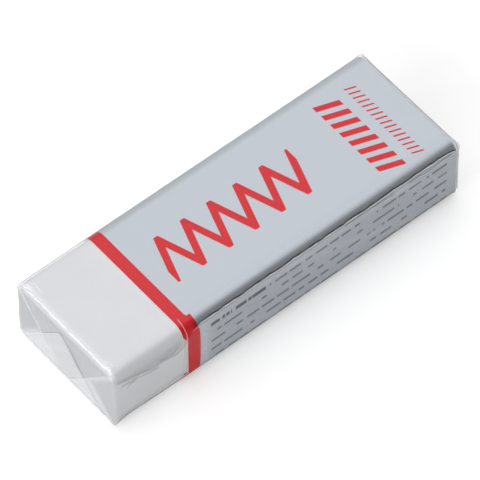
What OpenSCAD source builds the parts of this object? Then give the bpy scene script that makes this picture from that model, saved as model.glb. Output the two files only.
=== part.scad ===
// Vinyl eraser in a printed card sleeve, sealed in clear film.
// X runs along the eraser with its bare end at the low side, Z is up.
// The origin is at the bottom centre of the wrapped eraser.

/* [Eraser block] */
// Length of the vinyl block
block_l = 64.7; // [40:0.1:90]
// Width of the vinyl block
block_w = 21.9; // [16:0.1:30]
// Height of the vinyl block
block_h = 12; // [9:0.1:20]
// Radius of its long edges, left by the extrusion die
block_edge_r = 1.9; // [0.5:0.1:3]
// Radius of the edges round its two cut ends
block_end_r = 1.2; // [0.3:0.05:1.6]

/* [Card sleeve] */
// Thickness of the card
card_t = 0.2; // [0.15:0.01:0.4]
// Clearance between the block and the card
card_gap = 0.02; // [0.02:0.01:0.1]
// Length of vinyl left bare in front of the sleeve
bare_l = 12.65; // [6:0.05:25]
// Length of vinyl that stands out behind the sleeve
rear_l = 0.8; // [0:0.05:2]
// Width of the printed band along the front edge
band_w = 2; // [0.5:0.1:5]
// How far the glued outer panel starts behind the front edge
lap_setback = 0.65; // [0.1:0.05:2]

/* [Clear film] */
// Thickness of the film
film_t = 0.04; // [0.03:0.01:0.1]
// Clearance between the film and what it wraps
film_gap = 0.02; // [0.02:0.01:0.1]
// How much further the film stands off the block at its bare end
film_flare = 0.2; // [0:0.05:0.6]
// Width of the sealed seam that runs along the near side
seam_w = 4; // [2:0.1:6]
// Angle on the rounded edge at which the seam's outer edge lies
seam_angle = 33; // [20:1:70]
// Distance from the far corner to the lower end flap
flap_far = 0.4; // [0:0.1:4]
// Distance from the near corner to the lower end flap
flap_near = 2.4; // [0:0.1:4]
// Rise of a flap's side edge for each millimetre across
flap_pitch = 1.1; // [0.9:0.05:1.3]
// Height kept free between the tip of the upper end flap and the bottom
flap_clear = 1.4; // [0.5:0.1:4]

/* [Hidden] */
$fn = 48;

// Centres of the rounded long edges, seen from the block's own axis.
edge_y = block_w / 2 - block_edge_r;
edge_z = block_h / 2 - block_edge_r;

// Distances from the block's surface out to the card and its glued outer panel.
card_in = card_gap;
card_out = card_gap + card_t;
panel_out = card_out + card_t;

// The block's axis lies off the middle, because the near side has more layers.
axis_y = (card_t + film_t) / 2;
axis_z = block_h / 2 + card_out + film_gap + film_t;

// Places along the length.
block_x = -block_l / 2;
sleeve_x = block_x + bare_l;
sleeve_end_x = -block_x - rear_l;
film_x = -block_l / 2 - film_gap;

// A small length by which a cutting or meeting body reaches past its partner.
OVER = 1;
SLICE = 0.01;

// Flat steps that each round corner of the film is drawn with, and each bend at an end.
CORNER_STEPS = 12;
BEND_STEPS = 8;

// Stands a section drawn in width and height up and runs it along the length.
module along_x(from_x, to_x) {
    translate([from_x, axis_y, axis_z])
        rotate([90, 0, 90])
            linear_extrude(to_x - from_x)
                children();
}

// Rectangle with four round corners, centred.
module round_rect(w, h, r) {
    square([w - 2 * r, h], center = true);
    square([w, h - 2 * r], center = true);
    for (sy = [-1, 1], sz = [-1, 1])
        translate([sy * (w / 2 - r), sz * (h / 2 - r)])
            circle(r);
}

// The block's section, grown outwards by a distance.
module block_section(grow) {
    round_rect(block_w + 2 * grow, block_h + 2 * grow, block_edge_r + grow);
}

// The outer panel of the sleeve, glued over the near side and up round the near top edge.
module outer_panel_section() {
    near_r = block_edge_r + panel_out;
    fold_r = block_edge_r + card_out;
    intersection() {
        translate([-edge_y, edge_z])
            circle(near_r);
        translate([-edge_y - near_r, edge_z])
            square(near_r);
    }
    translate([-edge_y - near_r, -edge_z])
        square([near_r, 2 * edge_z]);
    intersection() {
        translate([-edge_y - card_t, -edge_z])
            circle(fold_r);
        translate([-edge_y - near_r, -edge_z - fold_r])
            square([near_r, fold_r]);
    }
}

// One round corner of the film's outline, as points from a start angle on.
function corner(centre, r, start) = [
    for (i = [0 : CORNER_STEPS])
        let (a = start + 90 * i / CORNER_STEPS)
            centre + r * [cos(a), sin(a)]
];

// The film's outline, drawn taut over card that lies this thick all round and over
// a panel that lies on it at the near side and on the near top edge.
module film_section(grow, card, panel) {
    r = block_edge_r + card + grow;
    polygon(concat(
        corner([edge_y, edge_z], r, 0),
        corner([-edge_y, edge_z], r + panel, 90),
        corner([-edge_y - panel, -edge_z], r, 180),
        corner([edge_y, -edge_z], r, 270)
    ));
}

module bare_section(grow) {
    film_section(grow, 0, 0);
}

module wrapped_section(grow) {
    film_section(grow, card_out, card_t);
}

// A length of the sleeve between two places, with its outer panel set back at the front.
module sleeve_length(from_x, to_x, panel_x) {
    difference() {
        union() {
            along_x(from_x, to_x) block_section(card_out);
            along_x(panel_x, to_x) outer_panel_section();
        }
        along_x(from_x - OVER, to_x + OVER) block_section(card_in);
    }
}

// The bare film's section, cut back on all four sides, as the block is round its ends.
module cut_back_section(grow, inset) {
    intersection() {
        bare_section(grow);
        square([block_w + 2 * (grow - inset), block_h + 2 * (grow - inset)], center = true);
    }
}

// Slices that carry the film round the end edges of the block, from the end wall inwards.
module bent_end(end_x, way, grow, flare) {
    for (i = [0 : BEND_STEPS]) {
        turn = 90 * i / BEND_STEPS;
        x = end_x + way * block_end_r * (1 - sin(turn));
        along_x(min(x, x + way * SLICE), max(x, x + way * SLICE))
            cut_back_section(grow + flare, block_end_r * (1 - cos(turn)));
    }
}

// All that lies inside a film surface at a distance out from the block and the sleeve.
// It is drawn taut from each end of the block to the nearer edge of the sleeve.
// The ends can lie further out than they do at no distance.
module film_form(grow, end_grow) {
    rear_edge_x = sleeve_end_x + film_gap;
    hull() {
        bent_end(film_x - end_grow, 1, grow, film_flare);
        along_x(sleeve_x - film_gap, sleeve_x) wrapped_section(grow);
    }
    along_x(sleeve_x, rear_edge_x) wrapped_section(grow);
    hull() {
        along_x(sleeve_end_x, rear_edge_x) wrapped_section(grow);
        bent_end(-film_x + end_grow, -1, grow, 0);
    }
}

// One flat flap on an end, with two slanted sides, seen along the length.
module flap_outline(low_y, high_y, base_z, reach) {
    way = reach > 0 ? 1 : -1;
    inset = min(abs(reach) / flap_pitch, (high_y - low_y) / 2 - SLICE);
    rise = inset * flap_pitch;
    polygon([
        [low_y, base_z],
        [high_y, base_z],
        [high_y - inset, base_z + way * rise],
        [low_y + inset, base_z + way * rise],
    ]);
}

// The ear that is tucked in first at one side, a triangle standing on its side edge.
module ear_outline(side_y, half_h) {
    tip_y = side_y - sign(side_y) * half_h / flap_pitch;
    polygon([
        [side_y, -half_h],
        [tip_y, 0],
        [side_y, half_h],
    ]);
}

// The folded layers on one end: two ears, then the upper flap, then the lower one.
// Each starts halfway into the closing wall, so that it is one with it.
// The child is the outline that they stay inside.
module end_folds(wall_x, way, low_y, high_y, half_h) {
    flap_h = 2 * half_h - flap_clear;
    root_x = wall_x - way * film_t / 2;
    module layer(depth) {
        face_x = wall_x + way * depth * film_t;
        intersection() {
            along_x(min(root_x, face_x), max(root_x, face_x)) children(0);
            along_x(wall_x - OVER, wall_x + OVER) children(1);
        }
    }
    layer(1) {
        ear_outline(low_y, half_h);
        children();
    }
    layer(1) {
        ear_outline(high_y, half_h);
        children();
    }
    layer(2) {
        flap_outline(low_y, high_y, half_h, -flap_h);
        children();
    }
    layer(3) {
        flap_outline(low_y + flap_near, high_y - flap_far, -half_h, flap_h);
        children();
    }
}

// The strip in which the film's two long edges are sealed over each other.
module seam_region() {
    seam_top = edge_z + (block_edge_r + panel_out) * sin(seam_angle);
    translate([film_x - OVER, axis_y - block_w, axis_z + seam_top - seam_w])
        cube([block_l + 4 * OVER, block_w - edge_y, seam_w]);
}

module eraser_block() {
    color("#e9eaec")
        intersection() {
            along_x(block_x, -block_x)
                block_section(0);
            translate([0, axis_y, axis_z - block_h])
                linear_extrude(2 * block_h)
                    round_rect(block_l, block_w, block_end_r);
            translate([0, axis_y + block_w, axis_z])
                rotate([90, 0, 0])
                    linear_extrude(2 * block_w)
                        round_rect(block_l, block_h, block_end_r);
        }
}

module card_sleeve() {
    band_x = sleeve_x + band_w;
    color("#df3f48")
        sleeve_length(sleeve_x, band_x, sleeve_x + lap_setback);
    color("#c8cfd6")
        sleeve_length(band_x, sleeve_end_x, band_x);
}

module film_wrap() {
    outer = film_gap + film_t;
    wall_x = film_x - film_t;
    bare_out = outer + film_flare;
    half_w = block_w / 2;
    half_h = block_h / 2;
    color("#e8f0f4", 0.25)
        difference() {
            union() {
                film_form(outer, film_t);
                intersection() {
                    film_form(outer + film_t, film_t);
                    seam_region();
                }
                end_folds(wall_x, -1, -half_w - bare_out, half_w + bare_out, half_h + bare_out)
                    cut_back_section(bare_out, block_end_r);
                end_folds(-wall_x, 1, -half_w - outer, half_w + outer, half_h + outer)
                    cut_back_section(outer, block_end_r);
            }
            film_form(film_gap, 0);
        }
}

eraser_block();
card_sleeve();
film_wrap();
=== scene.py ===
# %% [markdown]
# # A vinyl eraser in its card sleeve, sealed in clear film
#
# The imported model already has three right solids: the vinyl block, the lapped card sleeve and the
# folded film. This script dresses them. The sleeve keeps its own solid and gets a printed material.
# The block is drawn again as a finer mesh, because its cut ends have two kinds of edge. The film
# becomes one thin sheet, because its look comes from small folds. Everything is in metres, in the
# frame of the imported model.

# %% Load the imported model
import math

import bpy
import numpy as np
from mathutils import Matrix, Vector


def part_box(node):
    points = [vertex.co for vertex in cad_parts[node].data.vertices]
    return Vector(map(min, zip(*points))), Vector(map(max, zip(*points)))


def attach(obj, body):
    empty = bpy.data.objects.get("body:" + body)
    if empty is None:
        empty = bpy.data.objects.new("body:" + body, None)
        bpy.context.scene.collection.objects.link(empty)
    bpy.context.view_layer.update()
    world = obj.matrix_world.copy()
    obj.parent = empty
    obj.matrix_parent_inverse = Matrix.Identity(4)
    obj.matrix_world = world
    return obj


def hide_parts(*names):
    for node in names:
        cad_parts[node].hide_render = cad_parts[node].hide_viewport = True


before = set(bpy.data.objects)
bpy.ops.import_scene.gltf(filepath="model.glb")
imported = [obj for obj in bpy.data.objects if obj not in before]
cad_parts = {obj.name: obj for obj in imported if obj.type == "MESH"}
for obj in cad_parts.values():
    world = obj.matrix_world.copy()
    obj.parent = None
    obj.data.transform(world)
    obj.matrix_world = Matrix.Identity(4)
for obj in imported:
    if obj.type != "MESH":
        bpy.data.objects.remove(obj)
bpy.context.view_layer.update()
MM = 0.001

# %% [markdown]
# ## Sizes that everything hangs on
#
# The places of the block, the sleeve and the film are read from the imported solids, so the looks
# follow when a size changes. Only what their boxes can't tell is written here and below, in
# millimetres, as a drawing would give it.

# %% Read the places of the three pieces
block_lo, block_hi = (np.array(corner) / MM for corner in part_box("eraser_block"))
sleeve_lo, sleeve_hi = (np.array(corner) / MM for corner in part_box("card_sleeve"))
film_lo, film_hi = (np.array(corner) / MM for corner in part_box("film_wrap"))

EDGE_R = 1.9            # radius of the block's long edges
CARD_T = 0.2            # thickness of the card
CARD_OUT = block_lo[2] - sleeve_lo[2]    # from the block out to the card's outside

axis_y = (block_lo[1] + block_hi[1]) / 2
axis_z = (block_lo[2] + block_hi[2]) / 2
edge_y = (block_hi[1] - block_lo[1]) / 2 - EDGE_R
edge_z = (block_hi[2] - block_lo[2]) / 2 - EDGE_R
half_size = np.array([edge_y, edge_z]) + EDGE_R
print("axis at", round(axis_y, 3), round(axis_z, 3), "card stands out", round(CARD_OUT, 3))

# %% [markdown]
# ## The camera
#
# The eraser is seen from above its near front corner through a long lens, so parallel edges stay
# almost parallel. The camera is placed by two angles and a distance, and aimed near the middle.

# %% Place the camera
CAMERA_AZIMUTH = math.radians(-39.578)
CAMERA_ELEVATION = math.radians(54.166)
CAMERA_ROLL = math.radians(-0.339)
CAMERA_DISTANCE = 862.87 * MM
CAMERA_LENS = 448.03
SENSOR_W = 36
AIM = Vector((0, 0, 6)) * MM
AIM_SHIFT = (-0.0448 * MM, -0.3222 * MM)   # the middle of the picture, right and up of the aim


def put_in_scene(name, data):
    """A new object that shows this data, linked to the scene."""
    thing = bpy.data.objects.new(name, data)
    bpy.context.scene.collection.objects.link(thing)
    return thing


def camera_axes(azimuth, elevation, roll):
    """Directions to the right of the picture, up it, and back from the object to the camera."""
    back = Vector((
        math.sin(azimuth) * math.cos(elevation),
        -math.cos(azimuth) * math.cos(elevation),
        math.sin(elevation),
    ))
    right = Vector((math.cos(azimuth), math.sin(azimuth), 0))
    up = back.cross(right)
    turned_right = right * math.cos(roll) + up * math.sin(roll)
    turned_up = up * math.cos(roll) - right * math.sin(roll)
    return turned_right, turned_up, back


right, up, back = camera_axes(CAMERA_AZIMUTH, CAMERA_ELEVATION, CAMERA_ROLL)
camera_data = bpy.data.cameras.new("camera")
camera_data.lens = CAMERA_LENS
camera_data.sensor_width = SENSOR_W
camera_data.clip_start = 0.01
camera = put_in_scene("camera", camera_data)
camera.matrix_world = Matrix((right, up, back)).transposed().to_4x4()
camera.location = AIM + right * AIM_SHIFT[0] + up * AIM_SHIFT[1] + back * CAMERA_DISTANCE
bpy.context.scene.camera = camera
print("camera at", [round(v, 3) for v in camera.location])

# %% [markdown]
# ## Helpers for materials
#
# A colour is picked as an sRGB hex value, as from a paint chart, but the renderer adds light in
# linear values, so each one is converted. One helper adds any node with its settings and links,
# and one lays masks over one another. A mask is 1 where something holds and 0 where it doesn't.

# %% Define the colour and node helpers


def linear(hex_colour):
    """An sRGB hex colour as the linear RGBA that shaders take."""
    channels = [int(hex_colour[i:i + 2], 16) / 255 for i in (1, 3, 5)]
    powered = [c / 12.92 if c <= 0.04045 else ((c + 0.055) / 1.055) ** 2.4 for c in channels]
    return (*powered, 1)


def add(tree, kind, inputs=(), **settings):
    """Adds one node. inputs pairs a socket with a value, an output, or a node's first output."""
    node = tree.nodes.new(kind)
    for name, value in settings.items():
        setattr(node, name, value)
    for socket, value in dict(inputs).items():
        if isinstance(value, bpy.types.Node):
            value = value.outputs[0]
        if isinstance(value, bpy.types.NodeSocket):
            tree.links.new(value, node.inputs[socket])
        else:
            node.inputs[socket].default_value = value
    return node


def overlay(tree, operation, *masks):
    """Masks laid over one another. MULTIPLY keeps what all cover, MAXIMUM what any covers."""
    joined = masks[0]
    for mask in masks[1:]:
        joined = add(tree, "ShaderNodeMath", {0: joined, 1: mask}, operation=operation)
    return joined


def new_material(name):
    """An empty material with its node tree and its output node."""
    material = bpy.data.materials.new(name)
    material.use_nodes = True
    tree = material.node_tree
    tree.nodes.clear()
    return material, tree, add(tree, "ShaderNodeOutputMaterial")


print("middle grey in linear light:", round(linear("#808080")[0], 3))

# %% [markdown]
# ## The floor
#
# The eraser lies on white board. Board that is only lit comes out a light grey, and more light
# would bleach the eraser with it. So the board glows a little where the camera sees it, also
# through the film, and it keeps its shadow. In a gloss it shows dimmer, as a small table would
# that ends in a darker room, or the film would lie over the red as a white veil.

# %% Build the floor
FLOOR_HALF = 4.0
FLOOR_LIFT = 0.3        # added to the lit floor where it is seen, so that it is white
MIRRORED_SHARE = 0.55   # how much of the floor shows in a gloss


def make_floor():
    """A wide white floor that shows as white to the camera and keeps the eraser's shadow."""
    mesh = bpy.data.meshes.new("floor")
    corners = [(x * FLOOR_HALF, y * FLOOR_HALF, 0) for x, y in ((-1, -1), (1, -1), (1, 1), (-1, 1))]
    mesh.from_pydata(corners, [], [(0, 1, 2, 3)])
    floor = put_in_scene("floor", mesh)
    material, tree, output = new_material("white_studio_floor")
    path = add(tree, "ShaderNodeLightPath")
    seen = overlay(tree, "MAXIMUM",
                   path.outputs["Is Camera Ray"], path.outputs["Is Transmission Ray"])
    lift = add(tree, "ShaderNodeMath", {0: seen, 1: FLOOR_LIFT}, operation="MULTIPLY")
    white = linear("#f2f2f2")
    mirrored = (*(channel * MIRRORED_SHARE for channel in white[:3]), 1)
    colour = add(tree, "ShaderNodeMix", {0: path.outputs["Is Glossy Ray"], 6: white, 7: mirrored},
                 data_type="RGBA")
    paper = add(tree, "ShaderNodeBsdfDiffuse", {"Color": colour.outputs[2]})
    glow = add(tree, "ShaderNodeEmission", {"Color": linear("#ffffff"), "Strength": lift})
    both = add(tree, "ShaderNodeAddShader", {0: paper, 1: glow})
    tree.links.new(both.outputs[0], output.inputs["Surface"])
    mesh.materials.append(material)
    return floor


make_floor()
print("floor", 2 * FLOOR_HALF, "m wide, lifted by", FLOOR_LIFT)

# %% [markdown]
# ## The lamps
#
# Four soft lamps light the eraser. The large one above gives the top its even tone, the left one
# lights the bare end, and a low one at the near left reaches the near side without being mirrored
# in it. The small one draws bright lines on the film's front fold. One large lamp alone would
# leave the near side too dark.

# %% Hang the lamps
LAMPS = {
    # name: (direction it stands in, distance, width, height, power)
    "top_softbox": ((0.08, 0.28, 0.95), 2.4, 3.2, 3.2, 22.0),
    "left_softbox": ((-0.9, -0.1, 0.4), 2.2, 1.2, 1.2, 12.8),
    "near_softbox": ((-0.62, -0.72, 0.32), 2.2, 1.0, 1.0, 12.2),
    "small_window": ((-0.81, 0.46, 0.37), 0.9, 0.1, 0.14, 0.45),
}


def hang_lamp(name, direction, distance, width, height, power):
    """One rectangular soft lamp that points at the middle of the eraser."""
    light = bpy.data.lights.new(name, "AREA")
    light.shape = "RECTANGLE"
    light.size = width
    light.size_y = height
    light.energy = power
    lamp = put_in_scene(name, light)
    lamp.location = AIM + Vector(direction).normalized() * distance
    lamp.rotation_euler = Vector(direction).to_track_quat("Z", "Y").to_euler()


for lamp_name, (direction, distance, width, height, power) in LAMPS.items():
    hang_lamp(lamp_name, direction, distance, width, height, power)
    print(lamp_name, power, "W")

# %% [markdown]
# ## The room
#
# A studio isn't black between its lamps: its walls throw a plain grey light back. It is darker
# behind the camera, so a glossy side that faces there keeps its depth. The camera, and light that
# comes through the film, see the room as white, like the floor.

# %% Set the room's light
ROOM_GREY = 0.56
BEHIND_CAMERA_GREY = 0.16
DARK_UP_TO, GREY_FROM = -0.75, -0.15    # how far a direction points to the camera's side


def set_room():
    """A dim room, darker behind the camera, that shows as white where it is seen."""
    world = bpy.data.worlds.new("studio_room")
    bpy.context.scene.world = world
    world.use_nodes = True
    tree = world.node_tree
    tree.nodes.clear()
    path = add(tree, "ShaderNodeLightPath")
    seen = overlay(tree, "MAXIMUM",
                   path.outputs["Is Camera Ray"], path.outputs["Is Transmission Ray"])
    place = add(tree, "ShaderNodeTexCoord")
    way = add(tree, "ShaderNodeSeparateXYZ", {0: place.outputs["Generated"]})
    room_grey = add(tree, "ShaderNodeMapRange", {
        "Value": way.outputs["Y"], "From Min": DARK_UP_TO, "From Max": GREY_FROM,
        "To Min": BEHIND_CAMERA_GREY, "To Max": ROOM_GREY})
    strength = add(tree, "ShaderNodeMapRange", {"Value": seen, "To Min": room_grey, "To Max": 1.0})
    room = add(tree, "ShaderNodeBackground", {"Color": linear("#ffffff"), "Strength": strength})
    add(tree, "ShaderNodeOutputWorld", {"Surface": room})


set_room()
bpy.context.scene.view_settings.view_transform = "Standard"
print("room", ROOM_GREY, "and", BEHIND_CAMERA_GREY, "behind the camera")

# %% [markdown]
# ## Vinyl
#
# The block is plasticised PVC with a chalk filler, extruded as a long bar and cut to length. It
# is white, hardly shiny, and lets a little light in below its surface, which softens its shading.
# The die leaves faint lines along the bar. Noise stretched along the bar gives those with one
# node, where modelled grooves would be far too fine.

# %% Make the vinyl's material
GRAIN_MM = 0.25         # the filler's grain, coarser than real so that it shows
DIE_LINE_MM = 0.6       # from one die line to the next, coarser than real as well
DIE_STRETCH = 0.03      # how thin a line is for its length
MOTTLE_MM = 5           # slow changes of tone in the mixed mass
RELIEF_MM = 0.01        # height of the grain and the lines


def extruded_vinyl():
    """Plasticised PVC with chalk, drawn through a die: white, matte, a little cloudy."""
    material, tree, output = new_material("extruded_vinyl")
    place = add(tree, "ShaderNodeTexCoord").outputs["Object"]
    mottle = add(tree, "ShaderNodeTexNoise",
                 {"Vector": place, "Scale": 1 / (MOTTLE_MM * MM), "Detail": 2.0})
    tone = add(tree, "ShaderNodeMix", {0: mottle, 6: linear("#e1e2e5"), 7: linear("#e9eaed")},
               data_type="RGBA")
    grain = add(tree, "ShaderNodeTexNoise",
                {"Vector": place, "Scale": 1 / (GRAIN_MM * MM), "Detail": 3.0})
    drawn = add(tree, "ShaderNodeMapping", {"Vector": place, "Scale": (DIE_STRETCH, 1, 1)})
    lines = add(tree, "ShaderNodeTexNoise",
                {"Vector": drawn, "Scale": 1 / (DIE_LINE_MM * MM), "Detail": 2.0})
    relief = add(tree, "ShaderNodeMath", {0: grain, 1: lines})
    bump = add(tree, "ShaderNodeBump",
               {"Height": relief, "Distance": RELIEF_MM * MM, "Strength": 0.6})
    rough = add(tree, "ShaderNodeMapRange", {"Value": grain, "To Min": 0.45, "To Max": 0.6})
    body = add(tree, "ShaderNodeBsdfPrincipled", {
        "Base Color": tone.outputs[2],
        "Roughness": rough,
        "IOR": 1.53,
        "Specular IOR Level": 0.3,
        "Subsurface Weight": 0.2,
        "Subsurface Radius": (1.0, 1.0, 1.0),
        "Subsurface Scale": 0.6 * MM,
        "Normal": bump,
    })
    tree.links.new(body.outputs[0], output.inputs["Surface"])
    return material


vinyl_material = extruded_vinyl()
print("grain", GRAIN_MM, "mm, die lines", DIE_LINE_MM, "mm")

# %% [markdown]
# ## Printed card
#
# The sleeve is coated carton board, printed in silver-grey and red, cut, folded round the block
# and glued to itself on the near side. The print could be an image, but its fields are plain
# shapes. So each is a mask that is worked out from the place on the card, sharp at any distance:
# a red band, two rows of slanted bars, a zigzag stroke, and fine grey rules on the near side.

# %% Place the fields of the print
RED = "#dc0e20"
RULE_GREY = "#737985"
BOLD_GREY = "#4d535f"
CORE = "#dfdedb"
BAND_W = 2.0
band_front = sleeve_lo[0]
band_rear = band_front + BAND_W
SCRIBBLE = {"x": (-14.7, 12.25), "y": (-4.0, 4.3), "turn": 2.45, "stroke": 1.15}
# The bars reach across from one x to another. Their run is measured in y, slid along by the
# slant, so that a row starts and ends with a whole bar.
HATCH = {"reach": (19.9, 23.9), "run": (-1.0, 15.0), "pitch": 2.0, "stroke": 1.05, "slant": 0.35}
TICKS = {"reach": (25.6, 27.4), "run": (0.5, 16.5), "pitch": 1.0, "stroke": 0.3, "slant": 0.35}
RULES = {"x": (-14.8, 29.7), "z": (0.7, 10.9), "pitch": 2.04, "stroke": 0.5, "dash": 3.2}
BOLD = {"x": (-14.8, -4.6), "z": (9.0, 10.9), "stroke": 0.8}   # the heavier start of the top rule
print("band from", round(band_front, 2), "to", round(band_rear, 2), "mm")

# %% [markdown]
# ### Bars and a zigzag
#
# The print's masks are 1 where there is ink. A row of bars is a zigzag wave that is cut at a
# height, and so is the stroke, with the wave as its middle line. Places are in metres, as the
# nodes see them, and layouts in millimetres.

# %% Draw bars and a zigzag with masks


def inside(tree, place, low, high):
    """1 where a place lies between two millimetre marks."""
    return add(tree, "ShaderNodeMath",
               {0: place, 1: (low + high) / 2 * MM, 2: (high - low) / 2 * MM}, operation="COMPARE")


def slanted_bars(tree, along, across, layout):
    """Slanted bars side by side, which are counted along and reach across."""
    slid = add(tree, "ShaderNodeMath", {0: across, 1: layout["slant"], 2: along},
               operation="MULTIPLY_ADD")
    wave = add(tree, "ShaderNodeMath", {0: slid, 1: layout["pitch"] / 2 * MM}, operation="PINGPONG")
    half_width = layout["stroke"] / 2 * MM
    ink = add(tree, "ShaderNodeMath", {0: wave, 1: half_width}, operation="LESS_THAN")
    return overlay(tree, "MULTIPLY", ink,
                   inside(tree, across, *layout["reach"]), inside(tree, slid, *layout["run"]))


def zigzag_stroke(tree, along, across, layout):
    """One stroke that runs to and fro across, with its pointed turns cut off straight."""
    low, high = layout["y"]
    slope = (high - low - layout["stroke"]) / layout["turn"]
    swing = add(tree, "ShaderNodeMath", {0: along, 1: layout["turn"] * MM}, operation="PINGPONG")
    centre = add(tree, "ShaderNodeMath", {0: swing, 1: slope, 2: (low + layout["stroke"] / 2) * MM},
                 operation="MULTIPLY_ADD")
    off = add(tree, "ShaderNodeMath", {0: across, 1: centre}, operation="SUBTRACT")
    off = add(tree, "ShaderNodeMath", {0: off}, operation="ABSOLUTE")
    half_width = layout["stroke"] / 2 * math.hypot(1, slope) * MM
    ink = add(tree, "ShaderNodeMath", {0: off, 1: half_width}, operation="LESS_THAN")
    return overlay(tree, "MULTIPLY", ink,
                   inside(tree, along, *layout["x"]), inside(tree, across, low, high))


print("bars in the two rows:", *(round((row["run"][1] - row["run"][0]) / row["pitch"])
                                 for row in (HATCH, TICKS)))

# %% [markdown]
# ### The red band
#
# The band was printed before folding. On the main panel it ends straight. On the glued panel it
# ends a little further back, because the strip was lapped on slightly off, and its line bows.

# %% Draw the red band
PANEL_UP_TO = 0.3       # the glued panel ends this far outwards of the near edge's centre line
panel_y = axis_y - edge_y - PANEL_UP_TO
BAND_STEP = 1.02        # how much further back the band ends on the glued panel
BAND_BOW = 0.011        # how fast that line bows forward, in millimetres for each square one
BAND_BOW_Z = 6.7        # height at which it lies furthest back


def red_band(tree, x, z, on_panel):
    """The band along the front edge, with its step at the near top edge."""
    bow = add(tree, "ShaderNodeMath", {0: z, 1: BAND_BOW_Z * MM}, operation="SUBTRACT")
    bow = add(tree, "ShaderNodeMath", {0: bow, 1: bow}, operation="MULTIPLY")
    panel_rear = add(tree, "ShaderNodeMath",
                     {0: bow, 1: -BAND_BOW / MM, 2: (band_rear + BAND_STEP) * MM},
                     operation="MULTIPLY_ADD")
    step = add(tree, "ShaderNodeMath", {0: panel_rear, 1: band_rear * MM}, operation="SUBTRACT")
    rear = add(tree, "ShaderNodeMath", {0: on_panel, 1: step, 2: band_rear * MM},
               operation="MULTIPLY_ADD")
    return add(tree, "ShaderNodeMath", {0: x, 1: rear}, operation="LESS_THAN")


print("band ends at", round(band_rear, 2), "and on the panel at", round(band_rear + BAND_STEP, 2))

# %% [markdown]
# ### The grey rules
#
# The near side carries five fine rules, broken into dashes of uneven length. A Voronoi pattern
# that is stretched along the rules has cells of uneven length, and the gaps lie where they meet.
# Each rule has its own number, so that its dashes don't line up with those of the next.

# %% Draw the grey rules
ROW_SHIFT = 7.3         # how far apart in the pattern two rules lie
DASH_GAP = 0.07         # half width of a gap, as a share of a cell
BOLD_GAP_LESS = 0.05    # how much narrower that is in the heavier start


def grey_rules(tree, x, z):
    """The dashed rules on the near side, and the mask of their heavier start."""
    pitch = RULES["pitch"] * MM
    height = add(tree, "ShaderNodeMath", {0: z, 1: RULES["z"][0] * MM}, operation="SUBTRACT")
    row = add(tree, "ShaderNodeMath", {0: height, 1: RULES["pitch"] / 2 * MM}, operation="PINGPONG")
    bold = overlay(tree, "MULTIPLY", inside(tree, x, *BOLD["x"]), inside(tree, z, *BOLD["z"]))
    heavier = (BOLD["stroke"] - RULES["stroke"]) / 2 * MM
    off_row = add(tree, "ShaderNodeMath", {0: bold, 1: heavier, 2: row}, operation="MULTIPLY_ADD")
    in_row = add(tree, "ShaderNodeMath",
                 {0: off_row, 1: (RULES["pitch"] - RULES["stroke"]) / 2 * MM},
                 operation="GREATER_THAN")
    number = add(tree, "ShaderNodeMath", {0: height, 1: pitch}, operation="DIVIDE")
    number = add(tree, "ShaderNodeMath", {0: number}, operation="FLOOR")
    run = add(tree, "ShaderNodeCombineXYZ", {"X": x, "Y": number})
    run = add(tree, "ShaderNodeMapping",
              {"Vector": run, "Scale": (1 / (RULES["dash"] * MM), ROW_SHIFT, 1)})
    dash = add(tree, "ShaderNodeTexVoronoi", {"Vector": run, "Scale": 1.0},
               voronoi_dimensions="3D", feature="DISTANCE_TO_EDGE")
    dash = add(tree, "ShaderNodeMath", {0: bold, 1: BOLD_GAP_LESS, 2: dash.outputs["Distance"]},
               operation="MULTIPLY_ADD")
    inked = add(tree, "ShaderNodeMath", {0: dash, 1: DASH_GAP}, operation="GREATER_THAN")
    rules = overlay(tree, "MULTIPLY", in_row, inked,
                    inside(tree, x, *RULES["x"]), inside(tree, z, *RULES["z"]))
    return rules, bold


print("rules:", round((RULES["z"][1] - RULES["z"][0]) / RULES["pitch"]))

# %% [markdown]
# ### Bare core
#
# Ink lies only on the outside. Cut edges show the white core of the board, and so does the strip
# of the inner flap that the glued panel leaves free, up to a slanted line below the near top edge.

# %% Find where the core shows
LAP_SETBACK = 0.65      # how far the outer panel starts behind the front edge
PANEL_INK = 0.02        # its own cut edge is inked from this far in front
FLAP_FROM = 2.0         # height at which the bare strip starts
FLAP_LINE = {"behind": 0.13, "z": 10.6, "slope": 1.76}    # the slanted line that it ends at
EDGE_CUT = 0.5          # a face that looks this much along the length is a cut edge


def bare_core(tree, x, z, facing, on_panel):
    """1 on the inner flap's free strip and on cut edges."""
    strip = add(tree, "ShaderNodeMath", {0: x, 1: (band_front + LAP_SETBACK - PANEL_INK) * MM},
                operation="LESS_THAN")
    line = add(tree, "ShaderNodeMath", {0: x, 1: (band_front + FLAP_LINE["behind"]) * MM},
               operation="SUBTRACT")
    line = add(tree, "ShaderNodeMath", {0: line, 1: FLAP_LINE["slope"], 2: z},
               operation="MULTIPLY_ADD")
    below = add(tree, "ShaderNodeMath", {0: line, 1: FLAP_LINE["z"] * MM}, operation="LESS_THAN")
    above = add(tree, "ShaderNodeMath", {0: z, 1: FLAP_FROM * MM}, operation="GREATER_THAN")
    flap = overlay(tree, "MULTIPLY", strip, below, on_panel, above)
    cut = add(tree, "ShaderNodeMath", {0: facing.outputs["X"]}, operation="ABSOLUTE")
    cut = add(tree, "ShaderNodeMath", {0: cut, 1: EDGE_CUT}, operation="GREATER_THAN")
    return overlay(tree, "MAXIMUM", flap, cut)


print("bare strip", LAP_SETBACK, "mm wide, from", FLAP_FROM, "mm up")

# %% [markdown]
# ### Inks on the board
#
# The inks are laid over one another in the order of printing: silver-grey on the whole outside,
# then red, then the fine grey. The bare core comes last, because there is no ink on it.

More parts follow.
